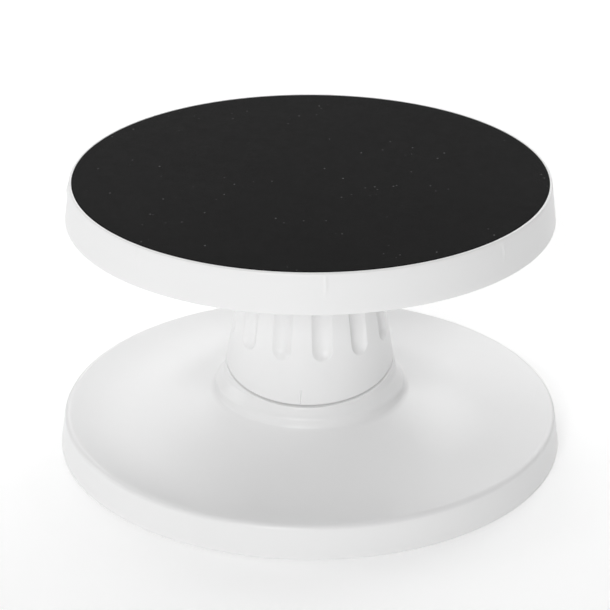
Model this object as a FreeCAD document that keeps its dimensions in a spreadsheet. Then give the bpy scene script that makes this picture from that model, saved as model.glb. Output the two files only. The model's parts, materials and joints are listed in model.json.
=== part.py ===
# Tilting cake turntable: a free-spinning plate on a fluted neck. The neck meets the base's
# collar in a slanted seam, so half a turn of the neck about the seam's axis leans the plate.
# Millimetres, +Z up, origin at the middle of the base on the surface that it stands on.
# The seam is lowest at -Y, where the neck carries its index mark.
import FreeCAD, Part
import os
import re
import Sketcher

Vector = FreeCAD.Vector
doc = FreeCAD.newDocument("cake_turntable")
sheet = doc.addObject("Spreadsheet::Sheet", "Sizes")

sizes = {
    # base
    "base_radius": 115.0,
    "base_stand": 0.6,
    "base_draft": 8.0,
    "base_height": 15.9,
    "base_wall": 2.6,
    "rim_rounding": 2.5,
    "rim_slope": 12.0,
    "valley_inset": 27.0,
    "dish_top": 24.9,
    "collar_radius": 43.3,
    "collar_height": 8.9,
    "collar_foot_reach": 0.8,
    "collar_foot_rise": 3.3,
    "foot_middle_reach": 0.26,
    "foot_middle_rise": 1.3,
    "shoulder_reach": 1.0,
    "shoulder_rise": 1.8,
    "shoulder_middle_reach": 0.33,
    "shoulder_middle_rise": 1.0,
    "cove_reach": 2.4,
    "cove_rise": 6.95,
    "collar_step": 0.3,
    "collar_inner_wall": 4.0,
    "collar_inner_rise": 1.0,
    "base_rib_count": 8,
    "base_rib_width": 2.0,
    "base_rib_lift": 3.0,
    "base_rib_rise": 8.0,
    "base_rib_run": 15.0,
    "base_rib_gap": 3.0,
    # rubber feet
    "foot_count": 6,
    "foot_inset": 14.0,
    "foot_radius": 6.0,
    "foot_height": 3.0,
    "foot_seat_depth": 1.4,
    "foot_post_wall": 2.0,
    "foot_post_bite": 0.5,
    # slanted seam and the swivel that it turns on
    "seam_tilt": 10.0,
    "seam_height": 40.7,
    "seam_gap": 0.7,
    "deck_thickness": 5.0,
    "deck_radius": 33.5,
    "swivel_boss_radius": 10.0,
    "swivel_boss_length": 7.0,
    "friction_inner": 14.0,
    "friction_outer": 23.0,
    "friction_thickness": 2.0,
    "sliding_gap": 0.05,
    "hole_play": 0.2,
    "cut_reach": 1.0,
    "thread_chamfer": 0.5,
    "swivel_bush_wall": 2.4,
    "bush_flange": 3.0,
    "bush_flange_thickness": 1.5,
    "bolt_radius": 4.0,
    "bolt_end": 1.5,
    "hex_flats": 13.0,
    "bolt_head_height": 5.3,
    "swivel_washer_radius": 11.0,
    "swivel_washer_thickness": 1.6,
    "spring_radius": 9.0,
    "spring_thickness": 0.9,
    "spring_cone": 0.7,
    "lock_nut_height": 8.0,
    "disc_thickness": 5.0,
    "disc_boss_radius": 12.0,
    "disc_boss_height": 4.0,
    "stop_circle": 28.5,
    "stop_radius": 1.8,
    "stop_drop": 2.2,
    "stop_gap": 0.25,
    "stop_clearance": 0.2,
    # screws that hold the swivel disc in the neck
    "screw_count": 3,
    "screw_inset": 5.05,
    "screw_radius": 1.5,
    "screw_head_radius": 3.0,
    "screw_head_height": 2.2,
    "screw_length": 13.0,
    "screw_boss_radius": 4.0,
    "screw_boss_length": 9.5,
    "screw_seat_play": 0.35,
    # neck
    "neck_radius": 36.0,
    "neck_wall": 4.5,
    "neck_top": 113.0,
    "neck_deck": 6.0,
    "neck_deck_rounding": 3.0,
    "race_wall": 4.49,
    "flute_count": 12,
    "flute_bottom": 54.0,
    "flute_width": 9.0,
    "flute_depth": 2.4,
    "flute_run_out": 6.0,
    "mark_width": 0.5,
    "mark_depth": 0.5,
    "mark_length": 6.5,
    # ball bearing under the plate
    "race_inner": 14.0,
    "race_outer": 22.0,
    "race_thickness": 2.0,
    "race_seat_depth": 1.2,
    "ball_count": 14,
    "ball_radius": 2.5,
    "ball_groove_depth": 0.8,
    "ball_groove_gap": 0.2,
    "cage_thickness": 1.8,
    "cage_gap": 0.3,
    "fit_gap": 0.05,
    # plate
    "plate_radius": 108.8,
    "plate_rise": 15.6,
    "plate_depth": 17.4,
    "plate_draft": 7.5,
    "plate_wall": 2.6,
    "plate_rounding": 0.9,
    "plate_edge": 0.4,
    "plate_rim": 1.2,
    "plate_rib_count": 8,
    "plate_rib_width": 1.8,
    "plate_rib_start": 9.3,
    "plate_rib_end": 4.5,
    "web_thickness": 3.0,
    "web_rounding": 2.0,
    "mat_gap": 0.1,
    "mat_thickness": 2.0,
    "mat_rounding": 0.5,
    "lip_gap": 0.8,
    "lip_thickness": 2.0,
    "hub_radius": 12.0,
    "hub_drop": 9.0,
    "hub_floor": 6.0,
    "nut_well_radius": 10.0,
    # spindle
    "spindle_radius": 5.0,
    "spindle_head_radius": 9.0,
    "spindle_head_height": 3.5,
    "spindle_thread": 4.0,
    "hub_bush_wall": 1.95,
    "hub_bush_flange": 1.0,
    "hub_bush_rim": 2.0,
    "spindle_washer_radius": 9.0,
    "spindle_washer_thickness": 1.2,
    "spindle_nut_height": 3.5,
}

# Places and sizes that follow from the ones above, each a formula in their names.
derived = {
    "rim_centre_height": "(base_height-rim_rounding)",
    "rim_centre": "(base_radius-(rim_centre_height-base_stand)*tan(base_draft)-rim_rounding/cos(base_draft))",
    "rim_end": "(rim_centre-rim_rounding*sin(rim_slope))",
    "rim_end_height": "(rim_centre_height+rim_rounding*cos(rim_slope))",
    "rim_middle": "((base_draft+90+rim_slope)/2)",
    "foot_circle": "(base_radius-foot_inset)",
    "valley": "(base_radius-valley_inset)",
    "valley_height": "(rim_end_height-(rim_end-valley)*tan(rim_slope/2))",
    "outer_bend": "((rim_end-valley)/sin(rim_slope))",
    "dish_foot": "(collar_radius+collar_foot_reach)",
    "dish_slope": "(2*atan((dish_top-valley_height)/(valley-dish_foot)))",
    "inner_bend": "((valley-dish_foot)/sin(dish_slope))",
    "shoulder_low": "(dish_top+collar_foot_rise)",
    "shoulder_high": "(dish_top+collar_height)",
    "neck_top_radius": "(race_outer+race_wall)",
    "neck_slope": "((neck_radius-neck_top_radius)/(neck_top-flute_bottom))",
    "seam_radius": "(neck_radius-neck_slope*(seam_height-flute_bottom))",
    "seam_low": "(seam_radius/(1-neck_slope*tan(seam_tilt)))",
    "seam_high": "(seam_radius/(1+neck_slope*tan(seam_tilt)))",
    "screw_circle": "(seam_radius-neck_wall-screw_inset)",
    "pivot_y": "((seam_high-seam_low)/2)",
    "pivot_z": "(seam_height+pivot_y*tan(seam_tilt))",
    "half_gap": "(seam_gap/2)",
    "boss_end": "(-half_gap-deck_thickness-swivel_boss_length)",
    "swivel_bush_radius": "(bolt_radius+fit_gap+swivel_bush_wall)",
    "bush_end": "(boss_end-bush_flange_thickness)",
    "washer_top": "(bush_end-sliding_gap)",
    "washer_end": "(washer_top-swivel_washer_thickness)",
    "spring_end": "(washer_end-2*spring_thickness-2*spring_cone)",
    "lock_nut_end": "(spring_end-lock_nut_height)",
    "disc_top": "(half_gap+disc_thickness)",
    "seam_bottom": "(seam_height-seam_low*tan(seam_tilt)-cut_reach)",
    "seam_top": "(seam_height+seam_low*tan(seam_tilt)+cut_reach)",
    "neck_deck_bottom": "(neck_top-neck_deck)",
    "flute_radius": "(((flute_width/2)^2+flute_depth^2)/(2*flute_depth))",
    "flute_axis": "(neck_radius-flute_depth+flute_radius)",
    "ball_circle": "((race_inner+race_outer)/2)",
    "groove_radius": "(ball_radius+ball_groove_gap)",
    "race_low_bottom": "(neck_top-race_seat_depth)",
    "race_low_top": "(race_low_bottom+race_thickness)",
    "ball_height": "(race_low_top-ball_groove_depth+groove_radius)",
    "race_high_bottom": "(ball_height+groove_radius-ball_groove_depth)",
    "race_high_top": "(race_high_bottom+race_thickness)",
    "plate_top": "(neck_top+plate_rise)",
    "plate_bottom": "(plate_top-plate_depth)",
    "mat_bottom": "(plate_top-mat_thickness)",
    "web_bottom": "(mat_bottom-web_thickness)",
    "recess_radius": "(plate_radius-plate_depth*tan(plate_draft)-plate_rim)",
    "mat_radius": "(recess_radius-mat_gap)",
    "lip_inner": "(neck_top_radius-lip_thickness)",
    "hub_bottom": "(web_bottom-hub_drop)",
    "hub_well": "(hub_bottom+hub_floor)",
    "hub_bush_radius": "(spindle_radius+fit_gap+hub_bush_wall)",
    "shoulder_height": "(hub_well+hub_bush_flange+sliding_gap)",
    "spindle_nut_bottom": "(shoulder_height+spindle_washer_thickness)",
}


def formula(text):
    """Writes a formula of plain names as one that the document can evaluate."""
    def swap(match):
        word = match.group(0)
        if word in derived:
            return formula(derived[word])
        return "Sizes." + word if word in sizes else word
    return re.sub(r"[a-z][a-z_]*", swap, str(text))


def value(text):
    return float(sheet.evalExpression(formula(text)))


def bind(owner, target, text):
    owner.setExpression(target, formula(text))


def body(name):
    made = doc.addObject("PartDesign::Body", name)
    made.Label = name
    return made


def attach(feature, owner, plane, base=("0", "0", "0"), axis=Vector(1, 0, 0), angle="0"):
    """Seats a sketch or primitive on one of its body's own planes, shifted and turned by sizes."""
    role = [item for item in owner.Origin.OriginFeatures if item.Role == plane][0]
    feature.AttachmentSupport = (role, [""])
    feature.MapMode = "FlatFace"
    start = Vector(*[value(item) for item in base])
    feature.AttachmentOffset = FreeCAD.Placement(start, FreeCAD.Rotation(axis, value(angle)))
    for letter, item in zip("xyz", base):
        bind(feature, "AttachmentOffset.Base." + letter, item)
    bind(feature, "AttachmentOffset.Rotation.Angle", angle)


def seam_place(rise, x="0", y="0"):
    """Base point and turn, on the XY plane, of a place measured from the swivel's pivot."""
    return {
        "base": (x, f"pivot_y+({y})*cos(seam_tilt)-({rise})*sin(seam_tilt)",
                 f"pivot_z+({y})*sin(seam_tilt)+({rise})*cos(seam_tilt)"),
        "axis": Vector(1, 0, 0),
        "angle": "seam_tilt",
    }


def sketch(owner, name, plane="XZ_Plane", **place):
    made = owner.newObject("Sketcher::SketchObject", name)
    attach(made, owner, plane, **place)
    return made


def dimension(target, geometry, vertex, x, y):
    for kind, text in (("DistanceX", x), ("DistanceY", y)):
        number = target.addConstraint(Sketcher.Constraint(kind, -1, 1, geometry, vertex, value(text)))
        bind(target, f"Constraints[{number}]", text)


def outline(target, corners):
    """A closed outline of lines; a corner marked "via" is the middle of an arc instead."""
    points = [Vector(value(corner[0]), value(corner[1]), 0) for corner in corners]
    ends = [index for index, corner in enumerate(corners) if len(corner) == 2]
    edges = []
    for index, following in zip(ends, ends[1:] + ends[:1]):
        middle = (index + 1) % len(corners)
        if len(corners[middle]) == 3:
            edge = target.addGeometry(Part.Arc(points[index], points[middle], points[following]), False)
            forward = target.getPoint(edge, 1).distanceToPoint(points[index]) < 1e-6
            edges.append((edge, 1 if forward else 2, index, middle))
        else:
            edge = target.addGeometry(Part.LineSegment(points[index], points[following]), False)
            edges.append((edge, 1, index, None))
    for (edge, first, _, _), (other, start, _, _) in zip(edges, edges[1:] + edges[:1]):
        target.addConstraint(Sketcher.Constraint("Coincident", edge, 3 - first, other, start))
    for edge, first, index, middle in edges:
        dimension(target, edge, first, *corners[index][:2])
        if middle is not None:
            point = target.addGeometry(Part.Point(points[middle]), True)
            dimension(target, point, 1, *corners[middle][:2])
            target.addConstraint(Sketcher.Constraint("PointOnObject", point, 1, edge))


def circle(target, radius, x="0", y="0"):
    centre = Vector(value(x), value(y), 0)
    ring = target.addGeometry(Part.Circle(centre, Vector(0, 0, 1), value(radius)), False)
    dimension(target, ring, 3, x, y)
    number = target.addConstraint(Sketcher.Constraint("Radius", ring, value(radius)))
    bind(target, f"Constraints[{number}]", radius)


def hexagon(target, flats):
    corner = f"({flats})/2/cos(30)"
    outline(target, [(f"{corner}*cos({60 * k})", f"{corner}*sin({60 * k})") for k in range(6)])


def turned(owner, kind, name, corners, **place):
    """Revolution or Groove of an outline in radius and height about the body's own Z."""
    section = sketch(owner, name + "_outline", **place)
    outline(section, corners)
    made = owner.newObject("PartDesign::" + kind, name)
    made.Profile = section
    made.ReferenceAxis = (section, ["V_Axis"])
    made.Angle = 360
    return finish(owner, made)


def extruded(owner, kind, name, section, length=None, symmetric=False, reverse=False):
    made = owner.newObject("PartDesign::" + kind, name)
    made.Profile = section
    made.Reversed = reverse
    made.SideType = "Symmetric" if symmetric else "One side"
    if length is None:
        made.Type = "ThroughAll"
    else:
        bind(made, "Length", length)
    return finish(owner, made)


def primitive(owner, kind, name, dims, plane="XY_Plane", **place):
    made = owner.newObject("PartDesign::" + kind, name)
    attach(made, owner, plane, **place)
    for key, text in dims.items():
        bind(made, key, text)
    return finish(owner, made)


def repeated(owner, name, originals, count):
    made = owner.newObject("PartDesign::PolarPattern", name)
    made.Originals = originals
    axis = [item for item in owner.Origin.OriginFeatures if item.Role == "Z_Axis"][0]
    made.Axis = (axis, [""])
    made.Angle = 360
    bind(made, "Occurrences", count)
    owner.Tip = made
    return finish(owner, made)


def finish(owner, feature):
    """Recomputes and makes sure that the feature added or cut material."""
    before = finish.volumes.get(owner.Name, 0.0)
    doc.recompute()
    after = owner.Shape.Volume
    if abs(after - before) < 1e-3:
        raise RuntimeError(f"{owner.Label}: {feature.Name} changes nothing")
    finish.volumes[owner.Name] = after
    return feature


finish.volumes = {}


def slanted_cut(owner, name, rise, above):
    """Takes away everything above or below a plane parallel to the seam."""
    section = sketch(owner, name + "_side", "YZ_Plane")
    reach = "(base_radius*2)"
    far = "(plate_top+base_radius)" if above else "(-base_radius)"
    height = f"(seam_height+({rise})/cos(seam_tilt))"
    outline(section, [(f"-{reach}", f"{height}-{reach}*tan(seam_tilt)"),
                      (reach, f"{height}+{reach}*tan(seam_tilt)"),
                      (reach, far), (f"-{reach}", far)])
    return extruded(owner, "Pocket", name, section, symmetric=True)


def neck_line(height, inset="0"):
    """Radius of the neck's cone at a height, less an inset."""
    return f"(neck_radius-neck_slope*(({height})-flute_bottom)-({inset}))"


def tilted(owner):
    """Stands a body on the swivel's axis, its own Z along that axis from the pivot."""
    owner.Placement = FreeCAD.Placement(
        Vector(0, value("pivot_y"), value("pivot_z")), FreeCAD.Rotation(Vector(1, 0, 0), value("seam_tilt")))
    bind(owner, "Placement.Base.y", "pivot_y")
    bind(owner, "Placement.Base.z", "pivot_z")
    bind(owner, "Placement.Rotation.Angle", "seam_tilt")
    doc.recompute()
    return owner


def ring_body(name, inner, outer, low, high):
    made = body(name)
    turned(made, "Revolution", "ring", [(inner, low), (outer, low), (outer, high), (inner, high)])
    return made


def dish_line(drop):
    """The dish from the rim in to the collar's foot: two arcs that meet level at the valley, lowered."""
    return [
        ("rim_end", f"rim_end_height-({drop})"),
        ("valley+outer_bend*sin(rim_slope/2)",
         f"valley_height+outer_bend*(1-cos(rim_slope/2))-({drop})", "via"),
        ("valley", f"valley_height-({drop})"),
        ("valley-inner_bend*sin(dish_slope/2)",
         f"valley_height+inner_bend*(1-cos(dish_slope/2))-({drop})", "via"),
        ("dish_foot", f"dish_top-({drop})")]


def base_shell():
    made = body("base_shell")
    wall = "base_wall"
    turned(made, "Revolution", "dish", [
        ("0", "base_stand"), ("base_radius", "base_stand"),
        ("rim_centre+rim_rounding*cos(base_draft)", "rim_centre_height+rim_rounding*sin(base_draft)"),
        ("rim_centre+rim_rounding*cos(rim_middle)", "rim_centre_height+rim_rounding*sin(rim_middle)", "via"),
        *dish_line("0"),
        ("collar_radius+foot_middle_reach", "dish_top+foot_middle_rise", "via"),
        ("collar_radius", "shoulder_low"),
        ("collar_radius-shoulder_middle_reach", "shoulder_low+shoulder_middle_rise", "via"),
        ("collar_radius-shoulder_reach", "shoulder_low+shoulder_rise"),
        ("collar_radius-cove_reach", "dish_top+cove_rise", "via"),
        (neck_line("shoulder_high", "-collar_step"), "shoulder_high"),
        (neck_line("seam_top", "-collar_step"), "seam_top"), ("0", "seam_top")])
    turned(made, "Groove", "underside", [
        ("0", "base_stand-cut_reach"), (f"base_radius-{wall}", "base_stand-cut_reach"),
        (f"base_radius-{wall}", "base_stand"),
        (f"rim_centre+(rim_rounding-{wall})/cos(base_draft)", f"rim_end_height-{wall}"),
        *dish_line(wall), ("collar_radius-collar_inner_wall", "dish_top+collar_inner_rise"),
        ("deck_radius", "shoulder_low"), ("0", "shoulder_low")])
    slanted_cut(made, "seam", "-half_gap", above=True)
    hollow = sketch(made, "collar_hollow", "XY_Plane", **seam_place("-half_gap-deck_thickness"))
    circle(hollow, "deck_radius")
    extruded(made, "Pocket", "collar_hollow_cut", hollow)
    rib = sketch(made, "rib_side")
    outline(rib, [
        ("deck_radius+base_rib_gap", "base_rib_lift+base_rib_rise"),
        ("foot_circle-base_rib_run", "base_rib_lift"), (f"base_radius-{wall}/2", "base_rib_lift"),
        (f"rim_centre+(rim_rounding-{wall}/2)/cos(base_draft)", f"rim_end_height-{wall}"),
        *dish_line(f"{wall}/2"), ("collar_radius-collar_inner_wall/2", "dish_top"),
        ("deck_radius+base_rib_gap", "dish_top-collar_inner_rise")])
    rib_pad = extruded(made, "Pad", "rib", rib, "base_rib_width", symmetric=True)
    repeated(made, "ribs", [rib_pad], "base_rib_count")
    posts = primitive(made, "AdditiveCylinder", "foot_post", {
        "Radius": "foot_radius+foot_post_wall",
        "Height": "valley_height-foot_post_bite-foot_height+foot_seat_depth"},
        base=("foot_circle*cos(30)", "foot_circle*sin(30)", "foot_height-foot_seat_depth"))
    repeated(made, "foot_posts", [posts], "foot_count")
    seats = primitive(made, "SubtractiveCylinder", "foot_seat", {
        "Radius": "foot_radius", "Height": "foot_seat_depth+cut_reach"},
        base=("foot_circle*cos(30)", "foot_circle*sin(30)", "foot_height-foot_seat_depth-cut_reach"))
    repeated(made, "foot_seats", [seats], "foot_count")
    primitive(made, "AdditiveCylinder", "swivel_boss", {
        "Radius": "swivel_boss_radius", "Height": "swivel_boss_length+deck_thickness/2"},
        **seam_place("boss_end"))
    bore = sketch(made, "swivel_bore", "XY_Plane", **seam_place("half_gap"))
    circle(bore, "swivel_bush_radius")
    extruded(made, "Pocket", "swivel_bore_cut", bore)
    washer = sketch(made, "friction_seat", "XY_Plane", **seam_place("half_gap"))
    circle(washer, "friction_outer")
    circle(washer, "friction_inner")
    extruded(made, "Pocket", "friction_seat_cut", washer, "friction_thickness")
    track = sketch(made, "stop_track", "XY_Plane", **seam_place("-half_gap"))
    side = "(stop_radius+stop_gap)"
    outline(track, [
        (f"stop_circle+{side}", "0"), ("0", f"stop_circle+{side}", "via"), (f"-stop_circle-{side}", "0"),
        ("-stop_circle", f"-{side}", "via"), (f"-stop_circle+{side}", "0"),
        ("0", f"stop_circle-{side}", "via"), (f"stop_circle-{side}", "0"),
        ("stop_circle", f"-{side}", "via")])
    extruded(made, "Pocket", "stop_track_cut", track, "stop_drop")
    return made


def rubber_feet():
    made = body("rubber_feet")
    foot = primitive(made, "AdditiveCylinder", "foot", {"Radius": "foot_radius", "Height": "foot_height"},
                     base=("foot_circle*cos(30)", "foot_circle*sin(30)", "0"))
    repeated(made, "feet", [foot], "foot_count")
    return made


def friction_washer():
    return tilted(ring_body("friction_washer", "friction_inner", "friction_outer",
                            "half_gap-friction_thickness", "half_gap-sliding_gap"))


def swivel_bush():
    made = body("swivel_bush")
    turned(made, "Revolution", "bush", [
        ("bolt_radius+fit_gap", "bush_end"), ("swivel_bush_radius+bush_flange", "bush_end"),
        ("swivel_bush_radius+bush_flange", "boss_end"), ("swivel_bush_radius", "boss_end"),
        ("swivel_bush_radius", "-half_gap"), ("bolt_radius+fit_gap", "-half_gap")])
    return tilted(made)


def swivel_bolt():
    made = body("swivel_bolt")
    turned(made, "Revolution", "shank", [
        ("0", "lock_nut_end-bolt_end"), ("bolt_radius-thread_chamfer", "lock_nut_end-bolt_end"),
        ("bolt_radius", "lock_nut_end-bolt_end+thread_chamfer"), ("bolt_radius", "disc_top"),
        ("0", "disc_top")])
    head = sketch(made, "head_flats", "XY_Plane", base=("0", "0", "disc_top"))
    hexagon(head, "hex_flats")
    extruded(made, "Pad", "head", head, "bolt_head_height")
    return tilted(made)


def swivel_washer():
    return tilted(ring_body("swivel_washer", "bolt_radius+hole_play", "swivel_washer_radius",
                            "washer_end", "washer_top"))


def disc_springs():
    """Two conical washers that meet at their outer edges, in one body."""
    made = body("disc_springs")
    inner = "bolt_radius+hole_play"
    fold = "(washer_end-spring_thickness-spring_cone)"
    turned(made, "Revolution", "springs", [
        (inner, "washer_end"), ("spring_radius", "washer_end-spring_cone"), ("spring_radius", fold),
        ("spring_radius", "spring_end+spring_cone"), (inner, "spring_end"),
        (inner, "spring_end+spring_thickness"), ("spring_radius-spring_thickness", fold),
        (inner, "washer_end-spring_thickness")])
    return tilted(made)


def hex_nut(name, low, height, hole):
    made = body(name)
    flats = sketch(made, "flats", "XY_Plane", base=("0", "0", low))
    hexagon(flats, "hex_flats")
    extruded(made, "Pad", "nut", flats, height)
    bore = sketch(made, "bore", "XY_Plane", base=("0", "0", f"{low}+{height}"))
    circle(bore, hole)
    extruded(made, "Pocket", "bore_cut", bore)
    return made


def screw_spot(index):
    """Place of a screw in the seam's own plane, on a circle about the neck's axis half way up its boss."""
    angle = f"(30+360/screw_count*{index})"
    rise = "(disc_top+screw_boss_length/2)"
    return (f"screw_circle*cos({angle})",
            f"(screw_circle*sin({angle})-pivot_y+{rise}*sin(seam_tilt))/cos(seam_tilt)")


def swivel_disc():
    made = body("swivel_disc")
    low = "seam_bottom"
    high = "(seam_height+seam_high)"
    turned(made, "Revolution", "plug", [
        ("0", low), (neck_line(low, "neck_wall+fit_gap"), low),
        (neck_line(high, "neck_wall+fit_gap"), high), ("0", high)])
    slanted_cut(made, "lower_face", "half_gap", above=False)
    slanted_cut(made, "upper_face", "disc_top", above=True)
    primitive(made, "AdditiveCylinder", "boss", {
        "Radius": "disc_boss_radius", "Height": "disc_boss_height+cut_reach"},
        **seam_place("disc_top-cut_reach"))
    socket = sketch(made, "hex_socket", "XY_Plane", **seam_place("disc_top+disc_boss_height"))
    hexagon(socket, "hex_flats")
    extruded(made, "Pocket", "hex_socket_cut", socket, "disc_boss_height")
    holes = [("bolt_hole", "bolt_radius", "0", "0"), ("stop_hole", "stop_radius", "stop_circle", "0")]
    for index in range(round(value("screw_count"))):
        holes.append((f"screw_hole_{index}", "screw_radius", *screw_spot(index)))
    for name, radius, x, y in holes:
        primitive(made, "SubtractiveCylinder", name, {"Radius": radius, "Height": "disc_thickness*2"},
                  **seam_place("0", x, y))
    for index in range(round(value("screw_count"))):
        primitive(made, "SubtractiveCylinder", f"screw_seat_{index}", {
            "Radius": "screw_head_radius+screw_seat_play", "Height": "screw_head_height+screw_seat_play"},
            **seam_place("half_gap", *screw_spot(index)))
    return made


def stop_pin():
    made = body("stop_pin")
    primitive(made, "AdditiveCylinder", "pin", {
        "Radius": "stop_radius", "Height": "disc_thickness+stop_drop-2*stop_clearance"},
        base=("stop_circle", "0", "half_gap-stop_drop+stop_clearance"))
    return tilted(made)


def swivel_screws():
    """Pan-head screws, driven up through the disc into the neck's bosses."""
    made = body("swivel_screws")
    for index in range(round(value("screw_count"))):
        x, y = screw_spot(index)
        primitive(made, "AdditiveCylinder", f"head_{index}", {
            "Radius": "screw_head_radius", "Height": "screw_head_height"},
            base=(x, y, "half_gap+screw_seat_play"))
        primitive(made, "AdditiveCylinder", f"shank_{index}", {
            "Radius": "screw_radius", "Height": "screw_length"},
            base=(x, y, "half_gap+screw_seat_play"))
    return tilted(made)


def neck_shell():
    made = body("neck_shell")
    soft = "neck_deck_rounding"
    turned(made, "Revolution", "cone", [
        ("0", "seam_bottom"), (neck_line("seam_bottom"), "seam_bottom"), (neck_line("neck_top"), "neck_top"),
        ("0", "neck_top")])
    turned(made, "Groove", "hollow", [
        ("0", "seam_bottom-cut_reach"),
        (neck_line("seam_bottom-cut_reach", "neck_wall"), "seam_bottom-cut_reach"),
        (neck_line(f"neck_deck_bottom-{soft}", "neck_wall"), f"neck_deck_bottom-{soft}"),
        (neck_line("neck_deck_bottom", f"neck_wall+{soft}*(1-cos(45))"),
         f"neck_deck_bottom-{soft}*(1-sin(45))", "via"),
        (neck_line("neck_deck_bottom", f"neck_wall+{soft}"), "neck_deck_bottom"), ("0", "neck_deck_bottom")])
    for index in range(round(value("screw_count"))):
        primitive(made, "AdditiveCylinder", f"screw_boss_{index}", {
            "Radius": "screw_boss_radius", "Height": "screw_boss_length"},
            **seam_place("disc_top", *screw_spot(index)))
    slanted_cut(made, "seam", "half_gap", above=False)
    for index in range(round(value("screw_count"))):
        primitive(made, "SubtractiveCylinder", f"screw_hole_{index}", {
            "Radius": "screw_radius", "Height": "screw_length-disc_thickness+2*cut_reach"},
            **seam_place("disc_top-cut_reach", *screw_spot(index)))
    # Each flute is a round-ended rod laid along the cone and taken out of it.
    lean = "atan(neck_slope)"
    start = "(flute_width/2+flute_bottom)"
    top = "(neck_top+flute_run_out)"
    start_middle = f"(flute_axis-neck_slope*({start}-flute_bottom))"
    top_middle = f"(flute_axis-neck_slope*({top}-flute_bottom))"
    end_reach = f"flute_radius*cos(45 deg+{lean})"
    end_drop = f"flute_radius*sin(45 deg+{lean})"
    flute = sketch(made, "flute_side", angle="180/flute_count", axis=Vector(0, 1, 0))
    outline(flute, [
        (f"{start_middle}+flute_radius*sin({lean})", f"{start}-flute_radius*cos({lean})"),
        (f"{start_middle}-{end_reach}", f"{start}-{end_drop}", "via"),
        (f"{start_middle}-flute_radius*cos({lean})", f"{start}-flute_radius*sin({lean})"),
        (f"{top_middle}-flute_radius*cos({lean})", f"{top}-flute_radius*sin({lean})"),
        (top_middle, top)])
    cut = made.newObject("PartDesign::Groove", "flute")
    cut.Profile = flute
    cut.ReferenceAxis = (flute, ["Edge4"])
    cut.Angle = 360
    finish(made, cut)
    repeated(made, "flutes", [cut], "flute_count")
    seat = sketch(made, "race_seat", "XY_Plane", base=("0", "0", "neck_top"))
    circle(seat, "race_outer+fit_gap")
    extruded(made, "Pocket", "race_seat_cut", seat, "race_seat_depth")
    bore = sketch(made, "spindle_bore", "XY_Plane", base=("0", "0", "neck_top"))
    circle(bore, "spindle_radius")
    extruded(made, "Pocket", "spindle_bore_cut", bore, "neck_deck+cut_reach")
    # The index line is cut along the cone at the seam's lowest point.
    primitive(made, "SubtractiveBox", "index_mark", {
        "Length": "mark_width", "Width": "mark_depth+cut_reach", "Height": "mark_length+cut_reach"},
        base=("-mark_width/2", f"-{neck_line('seam_bottom')}-cut_reach", "seam_bottom"),
        axis=Vector(1, 0, 0), angle="-atan(neck_slope)")
    return made


def spindle():
    made = body("spindle")
    base = "neck_deck_bottom"
    end = "(spindle_nut_bottom+spindle_nut_height)"
    turned(made, "Revolution", "pin", [
        ("0", f"{base}-spindle_head_height"),
        ("spindle_head_radius-thread_chamfer", f"{base}-spindle_head_height"),
        ("spindle_head_radius", f"{base}-spindle_head_height+thread_chamfer"), ("spindle_head_radius", base),
        ("spindle_radius", base), ("spindle_radius", "shoulder_height"),
        ("spindle_thread", "shoulder_height"), ("spindle_thread", f"{end}-thread_chamfer"),
        ("spindle_thread-thread_chamfer", end), ("0", end)])
    return made


def race(name, low, high):
    made = ring_body(name, "race_inner", "race_outer", low, high)
    primitive(made, "SubtractiveTorus", "groove", {"Radius1": "ball_circle", "Radius2": "groove_radius"},
              base=("0", "0", "ball_height"))
    return made


def ball_cage():
    made = ring_body("ball_cage", "race_inner+cage_gap", "race_outer-cage_gap",
                     "ball_height-cage_thickness/2", "ball_height+cage_thickness/2")
    pocket = primitive(made, "SubtractiveCylinder", "pocket", {
        "Radius": "ball_radius+fit_gap", "Height": "cage_thickness*2"},
        base=("ball_circle", "0", "ball_height-cage_thickness"))
    repeated(made, "pockets", [pocket], "ball_count")
    return made


def bearing_balls():
    made = body("bearing_balls")
    ball = primitive(made, "AdditiveSphere", "ball", {"Radius": "ball_radius"},
                     base=("ball_circle", "0", "ball_height"))
    repeated(made, "balls", [ball], "ball_count")
    return made


def plate_side(height, inset="0"):
    return f"(plate_radius-(({height})-plate_bottom)*tan(plate_draft)-({inset}))"


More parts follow.
